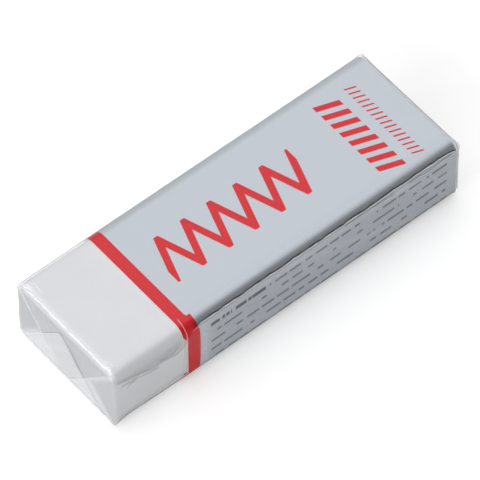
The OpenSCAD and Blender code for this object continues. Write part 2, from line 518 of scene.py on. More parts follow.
# %% Lay the inks
INK_MOTTLE_MM = 0.5     # uneven laydown of the ink, coarser than real so that it shows
SQUARE_ON = 0.9         # how squarely a face looks up on the top, or outwards on the near side


def printed_colour(tree, place):
    """The colour of the card's surface, and the mask of what has no silver ink."""
    spot = add(tree, "ShaderNodeSeparateXYZ", {0: place})
    x, y, z = (spot.outputs[axis] for axis in "XYZ")
    normal = add(tree, "ShaderNodeNewGeometry").outputs["Normal"]
    facing = add(tree, "ShaderNodeSeparateXYZ", {0: normal})
    on_panel = add(tree, "ShaderNodeMath", {0: y, 1: panel_y * MM}, operation="LESS_THAN")
    top = add(tree, "ShaderNodeMath", {0: facing.outputs["Z"], 1: SQUARE_ON},
              operation="GREATER_THAN")
    side = add(tree, "ShaderNodeMath", {0: facing.outputs["Y"], 1: -SQUARE_ON},
               operation="LESS_THAN")
    on_top = overlay(tree, "MAXIMUM", zigzag_stroke(tree, x, y, SCRIBBLE),
                     slanted_bars(tree, y, x, HATCH), slanted_bars(tree, y, x, TICKS))
    red = overlay(tree, "MAXIMUM", red_band(tree, x, z, on_panel),
                  overlay(tree, "MULTIPLY", top, on_top))
    rules, bold = grey_rules(tree, x, z)
    rules = overlay(tree, "MULTIPLY", side, rules)
    bare = bare_core(tree, x, z, facing, on_panel)

    mottle = add(tree, "ShaderNodeTexNoise",
                 {"Vector": place, "Scale": 1 / (INK_MOTTLE_MM * MM), "Detail": 4.0})
    silver = add(tree, "ShaderNodeMix", {0: mottle, 6: linear("#c3c9d1"), 7: linear("#ccd2da")},
                 data_type="RGBA")
    grey = add(tree, "ShaderNodeMix", {0: bold, 6: linear(RULE_GREY), 7: linear(BOLD_GREY)},
               data_type="RGBA")
    colour = silver
    for mask, ink in ((red, linear(RED)), (rules, grey.outputs[2]), (bare, linear(CORE))):
        colour = add(tree, "ShaderNodeMix", {0: mask, 6: colour.outputs[2], 7: ink},
                     data_type="RGBA")
    return colour.outputs[2], overlay(tree, "MAXIMUM", red, rules, bare)


print("inks: silver-grey,", RED, RULE_GREY, BOLD_GREY, "and bare core", CORE)

# %% [markdown]
# ### The card's finish
#
# The silver-grey ink holds small metal flakes under a thin clear coat, so it is partly metallic
# and shines softly. Red, grey and the core have no flakes. The board's fibres show as a faint
# unevenness in the gloss.

# %% Make the card's material
METALLIC = 0.30         # share of the silver ink's flakes in what it reflects
FIBRE_MM = 0.2          # the board's fibres, coarser than real so that they show
FIBRE_RELIEF_MM = 0.008


def coated_carton():
    """Coated board, offset printed and folded: softly shining silver-grey, with flat red."""
    material, tree, output = new_material("coated_carton")
    place = add(tree, "ShaderNodeTexCoord").outputs["Object"]
    colour, no_flakes = printed_colour(tree, place)
    metal = add(tree, "ShaderNodeMath", {0: no_flakes, 1: -METALLIC, 2: METALLIC},
                operation="MULTIPLY_ADD")
    fibre = add(tree, "ShaderNodeTexNoise",
                {"Vector": place, "Scale": 1 / (FIBRE_MM * MM), "Detail": 3.0})
    bump = add(tree, "ShaderNodeBump",
               {"Height": fibre, "Distance": FIBRE_RELIEF_MM * MM, "Strength": 0.5})
    body = add(tree, "ShaderNodeBsdfPrincipled", {
        "Base Color": colour,
        "Metallic": metal,
        "Roughness": 0.36,
        "IOR": 1.5,
        "Specular IOR Level": 0.22,
        "Normal": bump,
    })
    tree.links.new(body.outputs[0], output.inputs["Surface"])
    return material


card_material = coated_carton()
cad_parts["card_sleeve"].material_slots[0].material = card_material
print("nodes in the card's material:", len(card_material.node_tree.nodes))

# %% [markdown]
# ## Clear film
#
# The wrap is polypropylene film, a few hundredths of a millimetre thick, cast clear and drawn
# tight. It shows by its gloss, by milky places, and by painted highlights and painted shade on
# creases, cuts and folds. Real thickness would need two faces and glass with many bounces. One
# sheet that lets light straight through is steadier: each point carries its milkiness with its
# painted highlights and reflections, and its painted shade, and the material reads those two.

# %% Make the film's material
FACE_ON = 0.026         # share of light that one sheet reflects when seen square on
EDGE_ON = 1.0           # what it reflects when seen along its surface
CLEAR = 0.995           # what comes through square on
SLANTED = 0.75          # what comes through along its surface, after a longer way in the sheet
GLOSS = 0.06
STEEPNESS = 5.0         # how late in the turn the reflection rises, as for all clear plastics


def polypropylene_film():
    """Clear cast film, as smooth as its roller: glossy, milky in places, with painted light and
    shade.
    """
    material, tree, output = new_material("polypropylene_film")
    # The first value is milkiness together with painted highlights and reflections, the second
    # painted shade.
    haze_and_painted_light = add(tree, "ShaderNodeAttribute", attribute_name="haze_and_painted_light").outputs["Fac"]
    shade = add(tree, "ShaderNodeAttribute", attribute_name="shade").outputs["Fac"]
    slant = add(tree, "ShaderNodeLayerWeight", {"Blend": 0.5})
    steep = add(tree, "ShaderNodeMath", {0: slant.outputs["Facing"], 1: STEEPNESS},
                operation="POWER")
    mirror = add(tree, "ShaderNodeMapRange",
                 {"Value": steep, "To Min": FACE_ON, "To Max": EDGE_ON})
    clear = add(tree, "ShaderNodeMapRange", {"Value": steep, "To Min": CLEAR, "To Max": SLANTED})
    light = add(tree, "ShaderNodeMath", {0: 1.0, 1: shade}, operation="SUBTRACT")
    tint = add(tree, "ShaderNodeMath", {0: clear, 1: light}, operation="MULTIPLY")
    tint = add(tree, "ShaderNodeCombineColor", {i: tint for i in range(3)})
    through = add(tree, "ShaderNodeBsdfTransparent", {"Color": tint})
    # This milky white also shows the painted highlights and reflections.
    milk_and_painted_light = add(tree, "ShaderNodeBsdfDiffuse", {"Color": linear("#f4f6f8")})
    gloss = add(tree, "ShaderNodeBsdfGlossy", {"Roughness": GLOSS})
    milk_and_light_mix = add(tree, "ShaderNodeMixShader", {0: haze_and_painted_light, 1: through, 2: milk_and_painted_light})
    film = add(tree, "ShaderNodeMixShader", {0: mirror, 1: milk_and_light_mix, 2: gloss})
    # What the film throws back up comes down again from the white floor and walls, so light that
    # falls through it is taken as whole.
    path = add(tree, "ShaderNodeLightPath")
    whole = add(tree, "ShaderNodeBsdfTransparent", {"Color": linear("#ffffff")})
    film = add(tree, "ShaderNodeMixShader", {0: path.outputs["Is Shadow Ray"], 1: film, 2: whole})
    tree.links.new(film.outputs[0], output.inputs["Surface"])
    return material


film_material = polypropylene_film()
print("film reflects", FACE_ON, "square on")

# %% [markdown]
# ## Rings round the section
#
# The block and the film are both drawn round one section: four arcs joined by straights. A ring of
# points round it, repeated along the length, gives a clean grid. The film's ring is the block's,
# moved outwards, and it grows further where it lies on the sleeve and its glued panel.

# %% Lay out the points of one ring
FILM_OUT = 0.06         # from what the film wraps out to its own outside
ARC_STEPS = 12
NEAR_STEP = 0.06        # closer together round the near edge and below it, where the seam lies
SEAM_ZONE = 2.4         # how far down the near side they stay close
NEAR_ARC_STEPS = round(EDGE_R * math.pi / 2 / NEAR_STEP)
# Shares of a straight side at which its points lie.
LONG_SHARES = np.linspace(0, 1, 27)
SHORT_SHARES = np.linspace(0, 1, 15)
NEAR_SHARES = np.concatenate([
    np.linspace(0, SEAM_ZONE / (2 * edge_z), round(SEAM_ZONE / NEAR_STEP) + 1),
    np.linspace(SEAM_ZONE / (2 * edge_z), 1, 14)[1:],
])


def ring(card, panel, out):
    """Points (y, z) round a section and the directions that point out of it."""
    r = EDGE_R + card + out
    corners = [
        # centre, radius, first angle, steps of the arc, shares of the side after it
        ((edge_y, edge_z), r, 0, ARC_STEPS, LONG_SHARES),
        ((-edge_y, edge_z), r + panel, 90, NEAR_ARC_STEPS, NEAR_SHARES),
        ((-edge_y - panel, -edge_z), r, 180, ARC_STEPS, SHORT_SHARES),
        ((edge_y, -edge_z), r, 270, ARC_STEPS, SHORT_SHARES),
    ]
    points, ways = [], []
    for i, (centre, radius, start, arc_steps, shares) in enumerate(corners):
        angles = np.radians(np.linspace(start, start + 90, arc_steps + 1))
        way = np.stack([np.cos(angles), np.sin(angles)], 1)
        arc = np.array(centre) + radius * way
        next_centre, next_radius, next_start = corners[(i + 1) % 4][:3]
        turn = math.radians(next_start)
        goal = np.array(next_centre) + next_radius * np.array([math.cos(turn), math.sin(turn)])
        side = arc[-1] + shares[1:-1, None] * (goal - arc[-1])
        points.extend([arc, side])
        ways.extend([way, np.repeat(way[-1:], len(side), 0)])
    return np.concatenate(points), np.concatenate(ways)


block_ring, out_ways = ring(0, 0, 0)
bare_ring, _ = ring(0, 0, FILM_OUT)
wrapped_ring, _ = ring(CARD_OUT, CARD_T, FILM_OUT)
print("points in a ring:", len(bare_ring))

# %% [markdown]
# ### Ends that are cut back
#
# Both cut ends have rounded edges, so the rings near an end are smaller. A ring is cut back
# straight on its four sides, by as much as each rounded edge has drawn in at that depth.

# %% Cut a ring back near an end
BEND_R = 1.2            # radius of the top and bottom edges at the block's two ends
SIDE_BEND_R = (0.35, 1.1)   # radius of the upright edges there, near and far
BEND_STEPS = 12


def drawn_in(depth, radius):
    """How far a rounded edge has drawn in at a depth behind the end face."""
    past = max(0, radius - depth)
    return radius - math.sqrt(radius ** 2 - past ** 2)


def cut_back(points, grow, depth):
    """A ring cut back straight on all four sides, as the block is at this depth behind its end."""
    near, far = (drawn_in(depth, radius) for radius in SIDE_BEND_R)
    over = drawn_in(depth, BEND_R)
    low = -half_size - grow + np.array([near, over])
    high = half_size + grow - np.array([far, over])
    return np.clip(points, low, high)


def bend_depths():
    """Depths behind an end face at which the rings of a bend lie, from the face on."""
    return BEND_R * (1 - np.cos(np.linspace(0, math.pi / 2, BEND_STEPS + 1)))


print("an end face is", (2 * half_size - [sum(SIDE_BEND_R), 2 * BEND_R]).round(2), "mm flat")

# %% [markdown]
# ## The block
#
# The bar is cut to length with a knife, and the edges of its ends aren't alike: the upright ones
# on the near side stay crisp and the others are rounder. A bevel would give all of them one
# radius. Rings that are cut back give each its own, and the film can follow the same rings.

# %% Build the block
SHARP_FROM = math.radians(40)
MIDDLE_RINGS = 38


def grid_faces(rows, columns, first, closed):
    """Faces between the points of a grid, numbered row by row from first on."""
    faces = []
    for i in range(rows - 1):
        for j in range(columns if closed else columns - 1):
            k = (j + 1) % columns
            a, b = first + i * columns, first + (i + 1) * columns
            faces.append((a + j, a + k, b + k, b + j))
    return faces


def tube_faces(rings, around):
    """Faces of a tube of rings, with one face at each end."""
    last = (rings - 1) * around
    ends = [tuple(reversed(range(around))), tuple(range(last, last + around))]
    return grid_faces(rings, around, 0, closed=True) + ends


def smooth_piece(name, points, faces):
    """A smooth object of these faces. Its points are in millimetres."""
    mesh = bpy.data.meshes.new(name)
    mesh.from_pydata([tuple(point) for point in points * MM], [], faces)
    mesh.shade_smooth()
    return put_in_scene(name, mesh)


def block_piece():
    """The vinyl block as rings from one cut end to the other."""
    depths = bend_depths()
    middle = np.linspace(block_lo[0] + BEND_R, block_hi[0] - BEND_R, MIDDLE_RINGS + 2)[1:-1]
    rings = [(block_lo[0] + d, cut_back(block_ring, 0, d)) for d in depths]
    rings += [(x, block_ring) for x in middle]
    rings += [(block_hi[0] - d, cut_back(block_ring, 0, d)) for d in depths[::-1]]
    points = [np.column_stack([np.full(len(yz), x), yz + [axis_y, axis_z]]) for x, yz in rings]
    faces = tube_faces(len(rings), len(block_ring))
    piece = smooth_piece("vinyl_block", np.concatenate(points), faces)
    piece.data.set_sharp_from_angle(angle=SHARP_FROM)
    return piece


block = block_piece()
block.data.materials.append(vinyl_material)
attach(block, "root")
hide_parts("eraser_block")
print("faces in the block:", len(block.data.polygons))

# %% [markdown]
# ## Folds and creases
#
# Thin film never lies quite flat. Cloth simulation could crumple it, but each crease here has its
# own place. So the relief is worked out as a distance that each point moves outwards, from three
# small tools: an uneven line, a bell for a ridge, and an eased step for a rise.

# %% Define the uneven line, the bell and the step


def waves(along, longest, shortest, count, seed):
    """A smooth uneven line between about -1 and 1: count waves of random length and start.

    Their lengths run from the longest to the shortest, in the unit of along."""
    draw = np.random.default_rng(seed)
    lengths = np.geomspace(longest, shortest, count) * draw.uniform(0.85, 1.15, count)
    starts = draw.uniform(0, 2 * math.pi, count)
    weights = np.linspace(1.0, 0.5, count)
    parts = [w * np.sin(2 * math.pi * along / n + p) for w, n, p in zip(weights, lengths, starts)]
    return sum(parts) / weights.sum() * 1.6


def bell(distance, width):
    """1 at no distance, falling to about a third at one width."""
    return np.exp(-(distance / width) ** 2)


def ease(value, start, end):
    """0 before start, 1 after end, and a smooth rise between."""
    share = np.clip((value - start) / (end - start), 0, 1)
    return share * share * (3 - 2 * share)


print("bell at one width:", round(float(bell(1, 1)), 2), "step halfway:", ease(0.5, 0, 1))

# %% [markdown]
# ### The seam
#
# The sheet's two long edges are sealed over each other on the near side. The outer edge is a
# narrow ridge that wanders: it sags over the bare vinyl and runs high along the sleeve. Below it
# the sheet is double. A few creases run beside it where the film was drawn over the step between
# block and sleeve.

# %% Draw the seam and the creases beside it
SEAM_PATH = [
    # (x, z) of the seam's outer edge: low over the bare vinyl, high on the sleeve
    (-32.0, 10.7), (-31.2, 10.54), (-29.2, 9.92), (-27.0, 9.38), (-25.4, 8.86), (-23.9, 8.98),
    (-21.3, 8.6), (-19.7, 9.29), (-18.2, 11.2), (-16.5, 11.62), (29.0, 11.69), (31.5, 11.5),
]
CREASES = [
    # path of (x, z), height, width: grooves and ridges beside the seam on the near side
    (((-31.6, 8.9), (-31.0, 9.6), (-28.8, 9.3), (-26.5, 8.7), (-24.0, 8.3)), -0.07, 0.12),
    (((-30.6, 7.9), (-29.6, 8.9), (-28.2, 8.8)), 0.05, 0.13),
    (((-24.6, 9.6), (-22.0, 9.4), (-20.2, 10.1)), -0.06, 0.15),
    (((22.0, 11.3), (26.0, 11.0), (31.0, 11.2)), 0.04, 0.12),
    (((10.0, 11.2), (14.0, 11.35), (20.0, 11.1)), 0.03, 0.12),
]
CREASE_FADE = 0.8       # length in which a crease dies out at each end
SEAM_RIDGE = 0.06       # height of the seam's outer edge
SEAM_RIDGE_W = 0.10
RIDGE_UNEVEN = 0.5      # share by which its height changes
SEAM_W = 4.0            # width of the sealed strip
SEAM_WANDER = 0.06
DOUBLE_T = 0.04         # how much higher the sheet lies where it is double


def seam_height(x):
    """Height of the seam's outer edge at a place along the length."""
    path_x, path_z = zip(*SEAM_PATH)
    return np.interp(x, path_x, path_z) + SEAM_WANDER * waves(x, 9, 1.6, 5, 11)


def crease_line(x, path):
    """The height of a crease's path at each x, and 1 between its ends with a fade at both."""
    path_x, path_z = zip(*path)
    rise = ease(x, path_x[0], path_x[0] + CREASE_FADE)
    fall = ease(x, path_x[-1] - CREASE_FADE, path_x[-1])
    return np.interp(x, path_x, path_z), rise * (1 - fall)


def crease_relief(x, z):
    """All the creases, each dying out at both its ends."""
    total = np.zeros_like(x)
    for path, height, width in CREASES:
        path_z, inside_ends = crease_line(x, path)
        total += height * inside_ends * bell(z - path_z, width)
    return total


def seam_relief(x, y, z):
    """The seam along the near side: a ridge at its edge, and two thicknesses of film below it."""
    near = ease(-y, edge_y, edge_y + 0.6)
    below = seam_height(x) - z
    ridge = SEAM_RIDGE * bell(below, SEAM_RIDGE_W) * (1 + RIDGE_UNEVEN * waves(x, 5, 0.9, 5, 12))
    double = DOUBLE_T * ease(below, 0, 0.1) * (1 - ease(below, SEAM_W, SEAM_W + 0.3))
    return near * (ridge + double + crease_relief(x, z))


print("seam at", *(round(float(seam_height(x)), 2) for x in (-25, 0, 25)), "mm up")

# %% [markdown]
# ### Pleats and slack
#
# The corners are puckered where the ends are folded in, and between the folds the sheet lies in
# slow shallow waves. The pleats run in from a corner, so they are waves of the angle round the
# length. They die out a few millimetres behind the end.

# %% Draw the pleats and the slack
PUCKER = 0.10           # height of the pleats
PUCKER_REACH = 2.2
PUCKER_SLANT = 0.4      # how much they turn on their way along
ABOUT_ROUND = 12        # makes an angle round the length about as long as it is on the sheet
PUCKER_SPREAD = (1.2, 1.6)   # from the flat sides out to the pleats' middle, and half their spread
SLACK = 0.012


def pucker_relief(from_end, y, z, seed):
    """Small pleats that run in from the four corners of an end and die out along the length."""
    fade = bell(from_end, PUCKER_REACH)
    out, spread = PUCKER_SPREAD
    corner = bell(np.abs(y) - edge_y - out, spread) * bell(np.abs(z) - edge_z - out, spread)
    turn = np.arctan2(z, y) * ABOUT_ROUND
    pleats = waves(turn + PUCKER_SLANT * from_end, 3.0, 0.8, 5, seed)
    return PUCKER * fade * corner * pleats


def slack_relief(x, y, z):
    """Slow shallow waves of the sheet between its folds."""
    return SLACK * waves(x + 0.7 * y, 17, 5, 4, 21) * waves(y - z + 0.3 * x, 13, 4, 4, 22)


print("pleats", PUCKER, "mm, slack", SLACK, "mm")

# %% [markdown]
# ### Round the ends
#
# At an end the film goes round the block's edge and closes over the end face. The sheet is pulled
# flat there, so its section is cut back straight on all four sides and the four corners become
# crisp, as on a parcel. A ring is kept with the directions that point out of it, because they turn
# from across the length to along it.

# %% Define the rings of the ends and of the sleeve
FLARE = 0.2             # how much further the film stands off the block at its bare end
FILM_GAP = 0.02         # from what the film wraps out to its own inside
LAYER = 0.05            # from one folded layer to the next, with the air between them
RING_STEP = 0.25
CAP_RINGS = 16
SMALLEST_RING = 0.02    # the innermost ring of a wall, as a share of the outermost
CRUMPLE = 0.02
front_x = film_lo[0] + 2 * LAYER
rear_x = film_hi[0] - 2 * LAYER
rear_sleeve_edge = sleeve_hi[0] + FILM_GAP


def bend_ring(wall_x, way, flare, turn):
    """The ring on a bend, turn radians from the length of the tube, and its outward directions."""
    depth = BEND_R * (1 - math.sin(turn))
    yz = cut_back(bare_ring + out_ways * flare, FILM_OUT + flare, depth)
    x = np.full(len(yz), wall_x - way * depth)
    outwards = np.column_stack([np.full(len(yz), way * math.sin(turn)), out_ways * math.cos(turn)])
    return np.column_stack([x, yz]), outwards


def straight_ring(x):
    """The ring at one place over the sleeve."""
    count = len(wrapped_ring)
    return (np.column_stack([np.full(count, x), wrapped_ring]),
            np.column_stack([np.zeros(count), out_ways]))


def rings_between(start, end):
    """Rings evenly spaced on the taut sheet from one ring to another, without those two."""
    count = max(1, round(abs(end[0][0, 0] - start[0][0, 0]) / RING_STEP))
    shares = np.linspace(0, 1, count + 1)[1:-1]
    return [tuple(a + s * (b - a) for a, b in zip(start, end)) for s in shares]


def wall_rings(edge_ring, way, seed):
    """Ever smaller rings that close an end, from the middle out to the edge of its flat wall."""
    points, _ = edge_ring
    outwards = np.column_stack([np.full(len(points), way), np.zeros((len(points), 2))])
    rings = []
    for size in np.linspace(SMALLEST_RING, 1, CAP_RINGS + 1)[:-1]:
        flat = points[:, 1:] * size
        crumple = CRUMPLE * waves(flat[:, 0] + flat[:, 1], 7, 2.5, 4, seed) * (1 - size ** 6)
        rings.append((np.column_stack([points[:, 0] - way * abs(crumple), flat]), outwards))
    return rings


print("end walls at", round(front_x, 2), "and", round(rear_x, 2), "mm")

# %% [markdown]
# ### From wall to wall
#
# The rings are stacked in order: a wall, its bend, the taut sheet over the bare vinyl, the sleeve,
# and the same back down behind it. There the vinyl stands out so little that the sheet never lies
# on the block's long sides. It runs straight from the sleeve's edge to the rounded end, and the
# bend starts at the angle where it meets that.

# %% Stack all the rings


def tube_rings():
    """All rings from the front wall to the rear one."""
    over = rear_sleeve_edge - (rear_x - BEND_R)
    above = BEND_R + CARD_OUT
    meeting = math.atan2(over, above) + math.acos(BEND_R / math.hypot(over, above))
    front_turns = np.linspace(math.pi / 2, 0, BEND_STEPS + 1)
    rear_turns = np.linspace(meeting, math.pi / 2, BEND_STEPS + 1)
    front_bend = [bend_ring(front_x, -1, FLARE, turn) for turn in front_turns]
    rear_bend = [bend_ring(rear_x, 1, 0, turn) for turn in rear_turns]
    front_edge = straight_ring(band_front - FILM_GAP)
    rear_edge = straight_ring(rear_sleeve_edge)
    return [
        *wall_rings(front_bend[0], -1, 31), *front_bend,
        *rings_between(front_bend[-1], front_edge), front_edge,
        *rings_between(front_edge, rear_edge), rear_edge,
        *rings_between(rear_edge, rear_bend[0]), *rear_bend,
        *wall_rings(rear_bend[-1], 1, 41)[::-1],
    ]


ring_stack = tube_rings()
print("rings:", len(ring_stack))

# %% [markdown]
# ### Fold lines and corners
#
# The fold at the top of the front end is never a straight line: it has knuckles where layers lie
# below it. The corners of the parcel stand out beyond the round edges of what lies inside, as far
# as the tucked sheet could be pulled.

# %% Draw the fold lines and the pulled corners
FOLD_WAVE = 0.045
FOLD_AT, FOLD_SPREAD = 0.35 * BEND_R, 0.55 * BEND_R    # behind the wall, and half the width
FOLD_KINKS = [
    # (y, height, width) of small dents and knuckles on the fold at the top of the front end
    (8.0, 0.07, 0.5), (0.4, 0.06, 0.6), (-9.6, 0.10, 0.5), (10.2, 0.08, 0.6),
]
CORNER_PULLS = [
    # end (-1 front, 1 rear), angle of the corner in the section, how far it stands out, its reach
    (-1, 225, 0.38, 1.6), (-1, 135, 0.08, 1.2),
    (1, 135, 0.32, 1.3), (1, 225, 0.25, 1.3), (1, 45, 0.26, 1.2),
]
CORNER_HALF = 45        # degrees on each side in which a pull dies out


def fold_relief(x, y, z):
    """The uneven line of the fold at both ends."""
    from_wall = np.minimum(x - front_x, rear_x - x)
    on_fold = bell(from_wall - FOLD_AT, FOLD_SPREAD)
    uneven = FOLD_WAVE * waves(y + 1.3 * z, 11, 1.3, 7, 33)
    top = ease(z, edge_z, half_size[1])
    kinks = sum(height * bell(y - at, width) for at, height, width in FOLD_KINKS)
    return on_fold * (uneven + kinks * top * (x < 0))


def corner_pull(x):
    """How far the parcel's corners stand out beyond the round edges of what lies inside."""
    angle = np.degrees(np.arctan2(out_ways[:, 1], out_ways[:, 0]))[None, :]
    total = np.zeros_like(x)
    for way, corner, height, reach in CORNER_PULLS:
        off = np.abs((angle - corner + 180) % 360 - 180) / CORNER_HALF
        from_end = (x - front_x) if way < 0 else (rear_x - x)
        total += height * (1 - ease(off, 0, 1)) * bell(from_end, reach)
    return total


print("kinks:", len(FOLD_KINKS), "pulled corners:", len(CORNER_PULLS))

# %% [markdown]
# ### The whole sheet
#
# All reliefs are added up and each point moves out by their sum. Where the eraser lies on the
# floor its own weight presses the slack sheet flat, so no point goes below.

# %% Move the points of the sheet
ON_FLOOR = 0.002        # the pressed sheet stays this far above the floor's own face
WALL_STEP = 0.25        # length in which the folds start behind a wall
TUBE_STEP = 0.3         # the seam and the slack start this far behind it


def between_ends(x, start):
    """1 on the tube and 0 on the end walls, with a rise from start to the end of each bend."""
    rise = ease(x, front_x + start, front_x + BEND_R)
    return rise * (1 - ease(x, rear_x - BEND_R, rear_x - start))


def film_rings():
    """The sheet's points, as an array of rings, each with its x, y and z in millimetres."""
    grid = np.array([points for points, _ in ring_stack])
    outwards = np.array([ways for _, ways in ring_stack])
    x, y, z = np.moveaxis(grid, 2, 0)
    relief = seam_relief(x, y, z + axis_z) + slack_relief(x, y, z)
    relief = relief * between_ends(x, TUBE_STEP)
    relief = relief + pucker_relief(x - front_x, y, z, 51) + pucker_relief(rear_x - x, y, z, 52)
    relief = relief + fold_relief(x, y, z)
    off_wall = (ease(x, front_x, front_x + WALL_STEP)
                * (1 - ease(x, rear_x - WALL_STEP, rear_x)))
    grid += outwards * (relief * off_wall)[:, :, None]
    grid[:, :, 1:] += out_ways * corner_pull(x)[:, :, None]
    grid += np.array([0, axis_y, axis_z])
    grid[:, :, 2] = np.maximum(grid[:, :, 2], ON_FLOOR)
    return grid


sheet = film_rings()
print("points in the sheet:", sheet.shape[0] * sheet.shape[1])

# %% [markdown]
# ## The folded ends
#
# Each end is closed as a parcel is: the sides are tucked in, the top is folded down over them and
# the bottom is folded up last. The two flaps taper at about 45 degrees, because each is a strip
# whose corners went in with the sides. The lower flap lies outermost, and its tip is a point. It
# is lighter where it lies loose on the others, partly milky and partly painted light. A flap's cut
# edge gets a painted highlight with painted shade beside it, and painted shade lies under its fold.

# %% Lay out the flaps
FLAPS = {
    # name: (wall, way, low y, high y, root z, reach, depth off the wall, seed, milkiness with
    # painted light, shade)
    "front_upper": (front_x, -1, -10.5, 10.7, film_hi[2] - 0.55, -10.6, LAYER, 61, 0.02, 0.07),
    "front_lower": (front_x, -1, -8.56, 10.44, film_lo[2] + 0.45, 10.2, 2 * LAYER, 62, 0.62, 0.0),
    "rear_upper": (rear_x, 1, -10.4, 10.6, film_hi[2] - 0.75, -10.4, LAYER, 63, 0.02, 0.07),
    "rear_lower": (rear_x, 1, -9.0, 10.0, film_lo[2] + 0.75, 9.9, 2 * LAYER, 64, 0.62, 0.0),
}
FLAP_ROWS, FLAP_COLUMNS = 40, 36
FLAP_PITCH = 1.1        # rise of a flap's side edge for each millimetre across
TIP_HALF = 0.05         # half the width that is left at a tip
CURL, CURL_W = 0.05, 0.25    # how far a cut edge lifts, and how far in from it
LOOSE = 0.022           # how unevenly a flap lies
LEAST_LIFT = 0.004      # no flap lies closer to the wall, so that no two faces meet
EDGE_HIGHLIGHT, EDGE_HIGHLIGHT_W = 0.35, 0.1    # painted highlight on a flap's cut edge, and how far in it reaches
EDGE_SHADE = {"strength": 0.05, "in": 0.3, "width": 0.12}      # the thin painted shade beside the edge
FOLD_SHADE = {"strength": 0.07, "below": 0.7, "width": 0.5}    # painted shade under a flap's own fold


def behind_wall(y, z, flare):
    """How far the sheet has already turned back from the flat wall at a place on an end."""
    near, far = SIDE_BEND_R
    sides = ((axis_y - y, half_size[0], near), (y - axis_y, half_size[0], far),
             (np.abs(z - axis_z), half_size[1], BEND_R))
    back = np.zeros_like(y)
    for off, half, radius in sides:
        past = np.clip(off - (half + FILM_OUT + flare - radius), 0, 0.98 * radius)
        back = np.maximum(back, radius - np.sqrt(radius ** 2 - past ** 2))
    return back


def flap_grid(wall_x, way, low_y, high_y, root_z, reach, depth, seed, milk_and_painted_light, dark):
    """One flap as a grid of (x, y, z, milkiness with painted light, shade). It leaves the fold and
    lies off the wall.
    """
    grid = np.zeros((FLAP_ROWS + 1, FLAP_COLUMNS + 1, 5))
    flare = FLARE if way < 0 else 0
    for i, down in enumerate(np.linspace(0, 1, FLAP_ROWS + 1)):
        from_fold = abs(reach) * down
        inset = min(from_fold / FLAP_PITCH, (high_y - low_y) / 2 - TIP_HALF)
        across = np.linspace(low_y + inset, high_y - inset, FLAP_COLUMNS + 1)
        z = root_z + reach * down
        edge = np.minimum(np.abs(across - across[0]), np.abs(across - across[-1]))
        lift = depth * ease(from_fold, 0, 1.0)
        lift = lift + CURL * bell(edge, CURL_W) * ease(down, 0.05, 0.2)
        lift = lift + LOOSE * waves(across * 0.8 + z, 9, 2.2, 5, seed) * ease(down, 0, 0.15)
        lift = np.maximum(lift, LEAST_LIFT) - behind_wall(across, z, flare)
        # A cut edge gets a painted highlight, and painted shade lies under the fold and beside the
        # edge.
        haze_and_painted_light = milk_and_painted_light + EDGE_HIGHLIGHT * bell(edge, EDGE_HIGHLIGHT_W)
        under_fold = bell(from_fold - FOLD_SHADE["below"], FOLD_SHADE["width"])
        beside_edge = bell(edge - EDGE_SHADE["in"], EDGE_SHADE["width"])
        shade = dark + FOLD_SHADE["strength"] * under_fold + EDGE_SHADE["strength"] * beside_edge
        grid[i] = np.column_stack([
            wall_x + way * lift, across, np.full_like(across, z),
            haze_and_painted_light, np.full_like(across, shade)])
    return grid


flap_grids = [flap_grid(*layout) for layout in FLAPS.values()]
print("points in the flaps:", sum(grid.shape[0] * grid.shape[1] for grid in flap_grids))

# %% [markdown]
# ## Where the film is milky, and its painted highlights and shade
#
# A crease in clear film shows as a fine white line with a dark one on each side, where its ridge
# and flanks catch and turn away the light. Here the white line is a painted highlight and the dark
# ones are painted shade. The cut edge of the seam gets the same, unevenly, and it is lost in front
# of the red band.

# %% Paint highlights and shade on the seam and the creases
DOUBLE_HAZE = 0.012     # share of light scattered where two sheets are sealed over each other
LINE_HAZE_AND_HIGHLIGHT = 0.75        # and on the cut edge of a sheet or the ridge of a crease, there mostly a painted highlight
LINE_SHADE = 0.55       # painted shade that a crease gets beside its ridge
SEAM_LINE = {"width": 0.062, "strength": 0.9, "uneven": 0.25, "hidden": 1.6}
CREASE_LINE = {"width": 0.06, "strength": 0.8, "wander": 0.05}
FLANKS = [
    # (height off the line, half width, strength) of the painted dark line on each side
    (-0.15, 0.07, 0.7), (0.15, 0.08, 1.0),
]


def seam_lines(x, z):
    """For the seam and each crease: the height off its line, half its width, and its strength."""
    hidden = bell(x - (band_front + BAND_W / 2), SEAM_LINE["hidden"])
    strength = SEAM_LINE["strength"] + SEAM_LINE["uneven"] * waves(x, 4, 0.8, 5, 71)
    yield z - seam_height(x), SEAM_LINE["width"], strength * (1 - hidden)
    for path, height, width in CREASES:
        path_z, inside_ends = crease_line(x, path)
        off = z - path_z - CREASE_LINE["wander"] * waves(x, 4, 1.1, 4, 72)
        yield off * np.sign(height), CREASE_LINE["width"], inside_ends * CREASE_LINE["strength"]


def seam_looks(x, z, near):
    """Haze of the sealed strip, and painted highlight and painted shade on the seam's edge and
    creases.
    """
    below = seam_height(x) - z
    haze_and_painted_light = DOUBLE_HAZE * near * ease(below, 0, 0.1) * (1 - ease(below, SEAM_W, SEAM_W + 0.2))
    shade = np.zeros_like(x)
    for off, width, strength in seam_lines(x, z):
        haze_and_painted_light = haze_and_painted_light + LINE_HAZE_AND_HIGHLIGHT * near * strength * bell(off, width)
        flanks = sum(share * bell(off - at, half) for at, half, share in FLANKS)
        shade = shade + LINE_SHADE * near * strength * flanks
    return haze_and_painted_light, shade


print("lines on the near side:", 1 + len(CREASES))

# %% [markdown]
# ### Round edges and sides
#
# Round the long edges the sheet gets painted shade on the two near edges and a painted highlight
# on the far one, set by the angle at which it faces. The flat near side carries painted
# reflections beside the band.

